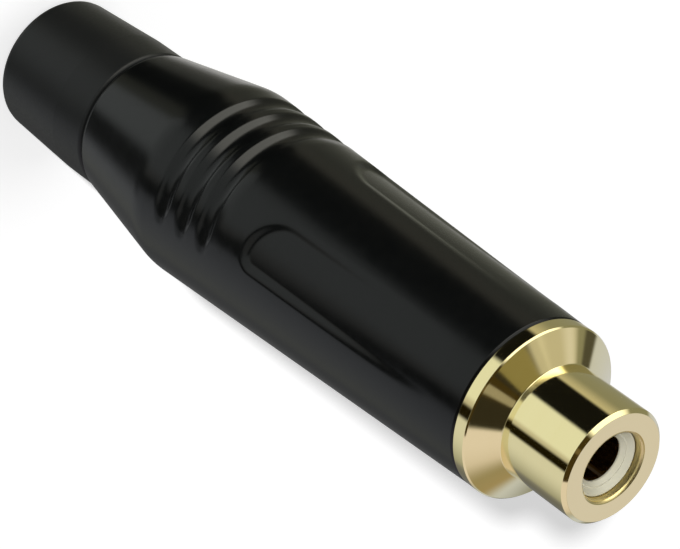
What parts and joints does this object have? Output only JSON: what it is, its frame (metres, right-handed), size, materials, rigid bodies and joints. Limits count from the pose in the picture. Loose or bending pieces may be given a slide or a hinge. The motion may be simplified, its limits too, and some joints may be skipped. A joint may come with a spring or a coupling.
{
  "type": "in-line phono socket",
  "caption": "In-line phono socket: gold-plated barrel and flange, tapered black shell with finger grooves, screw-on cable boot and a keyed cable clamp inside.",
  "frame": {"origin": "centre of the boot's end face, which it stands on", "axes": "+Z along the connector from the boot's end to the mouth, -Y through the middle of the shell's plain field"},
  "size_m": [0.0148, 0.0148, 0.0611],
  "materials": {
    "gold_plate": "gold plated over turned brass",
    "white_insulator": "moulded white plastic",
    "gold_contact": "gold plated spring brass",
    "tinned_brass": "tinned stamped brass",
    "sleeve_plastic": "smooth extruded plastic",
    "black_shell": "satin black finish on die-cast zinc",
    "clamp_plastic": "moulded natural nylon",
    "boot_plastic": "fine matte moulded black plastic"
  },
  "bodies": {
    "boot": {"boot": "boot_plastic"},
    "clamp": {"cable_clamp": "clamp_plastic"},
    "shell": {"shell": "black_shell"},
    "sleeve": {"insulating_sleeve": "sleeve_plastic"},
    "socket": {"outer_contact": "gold_plate", "insulator": "white_insulator", "centre_contact": "gold_contact", "ground_lug": "tinned_brass"}
  },
  "joints": [
    {"name": "boot_turn", "type": "hinge", "parent": "boot", "child": "clamp", "pos_m": [0, 0, 0], "axis": [0, 0, 1], "range_deg": [0, 1800]},
    {"name": "boot_travel", "type": "slide", "parent": "clamp", "child": "shell", "axis": [0, 0, 1], "range_m": [0, 0.005]},
    {"name": "socket_travel", "type": "slide", "parent": "shell", "child": "sleeve", "axis": [0, 0, 1], "range_m": [0, 0.0045]},
    {"name": "socket_turn", "type": "hinge", "parent": "sleeve", "child": "socket", "pos_m": [0, 0, 0], "axis": [0, 0, 1], "range_deg": [0, 2160]}
  ],
  "couplings": [
    {"joint": "boot_turn", "follows": "boot_travel", "rad_per_m": 6283.2},
    {"joint": "socket_turn", "follows": "socket_travel", "rad_per_m": 8377.6}
  ]
}
